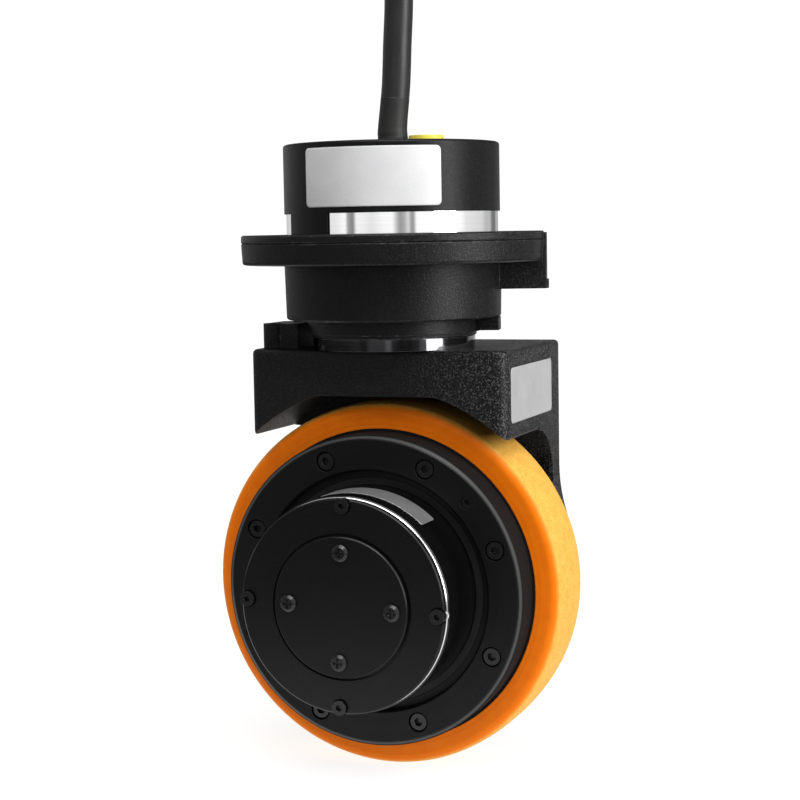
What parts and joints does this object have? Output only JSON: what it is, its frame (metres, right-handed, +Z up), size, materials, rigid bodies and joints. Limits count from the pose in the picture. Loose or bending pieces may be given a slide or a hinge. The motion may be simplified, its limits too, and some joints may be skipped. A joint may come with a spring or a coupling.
{
  "type": "agv drive wheel unit",
  "caption": "Steerable drive wheel for a guided vehicle: a flanged steering gearbox and motor carry a one-sided fork with a geared wheel and its drive motor.",
  "frame": {"origin": "centre of the mounting bolt circle, on the top face of the mounting flange, on the steering axis", "axes": "+Z up along the steering axis, away from the wheel; +Y towards the fork's leg, so -Y is the drive motor's end of the axle; +X across the wheel, along its travel"},
  "size_m": [0.2666, 0.3994, 0.48],
  "materials": {
    "black_cap": "satin black anodising",
    "black_casting": "semi-matt black paint",
    "black_hub": "semi-matt black paint",
    "black_motor": "smooth black paint",
    "bare_ring": "turned bare metal",
    "inner_casting": "as cast",
    "dark_steel": "dark polished",
    "steel": "machined",
    "bearing_steel": "ground",
    "black_screw": "black oxide",
    "winding": "varnished copper and laminations",
    "board": "lacquered",
    "gland": "moulded",
    "yellow": "moulded",
    "sensor": "threaded barrel",
    "polyurethane": "smooth orange polyurethane",
    "seal": "matt",
    "cable_jacket": "satin",
    "connector": "nickel-plated"
  },
  "bodies": {
    "head": {"cap": "black_cap", "cap_screws": "black_screw", "driver_board": "board", "cable_gland": "gland", "cap_plug": "yellow", "motor_ring": "bare_ring", "ring_screws": "black_screw", "steer_stator": "winding", "end_shield": "inner_casting", "steer_shaft_bearings": "bearing_steel", "flange_cover": "black_casting", "cover_screws": "black_screw", "gearbox_housing": "black_casting", "steer_ring_gear": "steel", "steer_bearing_outer": "bearing_steel", "steer_bearing_balls": "bearing_steel", "end_stop": "black_casting", "homing_sensor": "sensor", "cable": "cable_jacket", "cable_coil": "cable_jacket", "cable_connector": "connector"},
    "steering": {"output_flange": "dark_steel", "steer_bearing_inner": "bearing_steel", "fork": "black_casting", "fork_screws": "black_screw", "stop_lug": "black_casting", "stop_lug_screws": "black_screw", "spindle": "steel", "spindle_screws": "black_screw", "planet_carrier": "steel", "post_screws": "black_screw", "wheel_bearing_inners": "bearing_steel", "motor_housing": "black_motor", "drive_stator": "winding", "drive_shaft_bearings": "bearing_steel", "motor_cover": "black_motor", "rim_screws": "black_screw", "end_plate": "black_motor", "end_plate_screws": "black_screw"},
    "wheel": {"tyre": "polyurethane", "hub": "black_hub", "hub_cover": "black_hub", "hub_screws": "black_screw", "oil_plug": "black_screw", "shaft_seal": "seal", "rear_seal": "seal", "wheel_ring_gear": "steel", "wheel_bearing_outers": "bearing_steel", "wheel_bearing_balls": "bearing_steel"},
    "drive_rotor": {"drive_rotor": "steel"},
    "drive_planet_1": {"drive_planet_1": "steel"},
    "drive_planet_2": {"drive_planet_2": "steel"},
    "drive_planet_3": {"drive_planet_3": "steel"},
    "steer_rotor": {"steer_rotor": "steel"},
    "steer_planet_1": {"steer_planet_1": "steel"},
    "steer_planet_2": {"steer_planet_2": "steel"},
    "steer_planet_3": {"steer_planet_3": "steel"}
  },
  "joints": [
    {"name": "steer", "type": "hinge", "parent": "head", "child": "steering", "pos_m": [0, 0, 0], "axis": [0, 0, 1], "range_deg": [-150, 158]},
    {"name": "wheel_spin", "type": "hinge", "parent": "steering", "child": "wheel", "pos_m": [0, 0, -0.172], "axis": [0, -1, 0], "continuous": true},
    {"name": "drive_rotor_spin", "type": "hinge", "parent": "steering", "child": "drive_rotor", "pos_m": [0, 0, -0.172], "axis": [0, -1, 0], "continuous": true},
    {"name": "steer_rotor_spin", "type": "hinge", "parent": "head", "child": "steer_rotor", "pos_m": [0, 0, 0], "axis": [0, 0, 1], "range_deg": [-760, 800]},
    {"name": "drive_planet_1_spin", "type": "hinge", "parent": "steering", "child": "drive_planet_1", "pos_m": [0.0225, 0, -0.172], "axis": [0, -1, 0], "continuous": true},
    {"name": "drive_planet_2_spin", "type": "hinge", "parent": "steering", "child": "drive_planet_2", "pos_m": [-0.01125, 0, -0.15251], "axis": [0, -1, 0], "continuous": true},
    {"name": "drive_planet_3_spin", "type": "hinge", "parent": "steering", "child": "drive_planet_3", "pos_m": [-0.01125, 0, -0.19149], "axis": [0, -1, 0], "continuous": true},
    {"name": "steer_planet_1_spin", "type": "hinge", "parent": "steering", "child": "steer_planet_1", "pos_m": [0.0225, 0, 0], "axis": [0, 0, 1], "range_deg": [-425, 405]},
    {"name": "steer_planet_2_spin", "type": "hinge", "parent": "steering", "child": "steer_planet_2", "pos_m": [-0.01125, 0.01949, 0], "axis": [0, 0, 1], "range_deg": [-425, 405]},
    {"name": "steer_planet_3_spin", "type": "hinge", "parent": "steering", "child": "steer_planet_3", "pos_m": [-0.01125, -0.01949, 0], "axis": [0, 0, 1], "range_deg": [-425, 405]}
  ],
  "couplings": [
    {"joint": "drive_rotor_spin", "follows": "wheel_spin", "ratio": -4},
    {"joint": "steer_rotor_spin", "follows": "steer", "ratio": 5},
    {"joint": "drive_planet_1_spin", "follows": "wheel_spin", "ratio": 2.6667},
    {"joint": "drive_planet_2_spin", "follows": "wheel_spin", "ratio": 2.6667},
    {"joint": "drive_planet_3_spin", "follows": "wheel_spin", "ratio": 2.6667},
    {"joint": "steer_planet_1_spin", "follows": "steer", "ratio": -2.6667},
    {"joint": "steer_planet_2_spin", "follows": "steer", "ratio": -2.6667},
    {"joint": "steer_planet_3_spin", "follows": "steer", "ratio": -2.6667}
  ]
}
